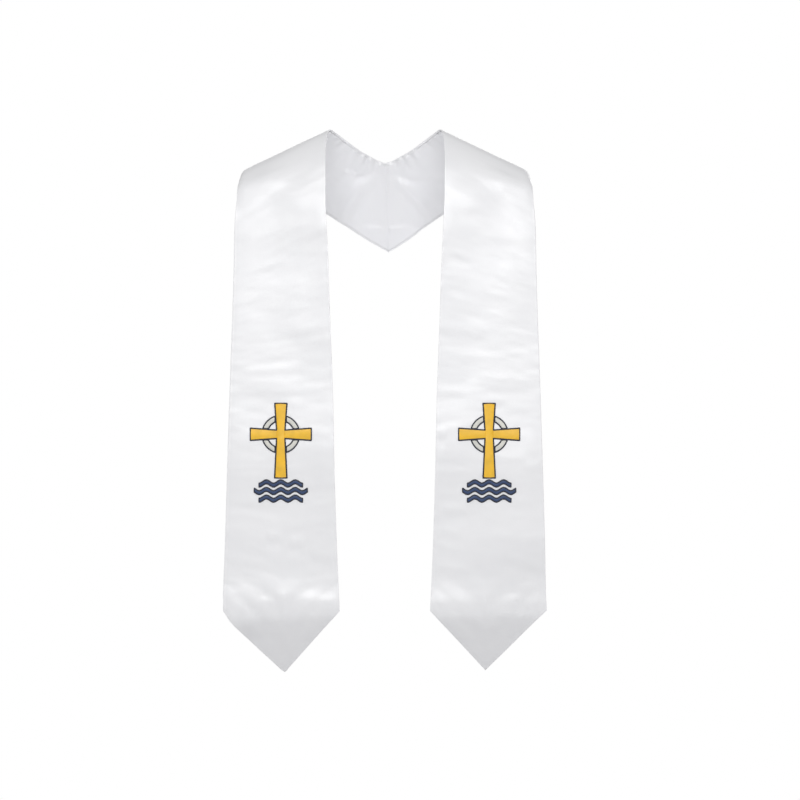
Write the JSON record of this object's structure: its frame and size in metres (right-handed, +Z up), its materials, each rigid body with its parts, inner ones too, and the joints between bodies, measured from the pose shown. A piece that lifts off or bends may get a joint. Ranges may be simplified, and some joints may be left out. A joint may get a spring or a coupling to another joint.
{
  "type": "baptism stole",
  "caption": "Lined white satin stole with a mitred back seam, shaped as worn over both shoulders, with pointed ends and an embroidered cross, ring and waves on each front.",
  "frame": {"origin": "midway between the two shoulders, level with the neck edge where it crosses the top of each shoulder", "axes": "+Z up, +X to the viewer's right, which is the wearer's left, and -Y towards the viewer, in front of the wearer"},
  "size_m": [0.4048, 0.1891, 0.6827],
  "materials": {
    "satin": "glossy satin",
    "lining": "soft satin lining",
    "gold_thread": "shiny embroidery thread",
    "silver_thread": "shiny embroidery thread",
    "blue_thread": "shiny embroidery thread"
  },
  "bodies": {
    "root": {"panel_left": "satin", "panel_right": "satin", "lining_left": "lining", "lining_right": "lining", "cross_left": "gold_thread", "cross_right": "gold_thread", "ring_left_1": "silver_thread", "ring_left_2": "silver_thread", "ring_left_3": "silver_thread", "ring_left_4": "silver_thread", "ring_right_1": "silver_thread", "ring_right_2": "silver_thread", "ring_right_3": "silver_thread", "ring_right_4": "silver_thread", "wave_left_1": "blue_thread", "wave_left_2": "blue_thread", "wave_left_3": "blue_thread", "wave_right_1": "blue_thread", "wave_right_2": "blue_thread", "wave_right_3": "blue_thread"}
  },
  "joints": []
}
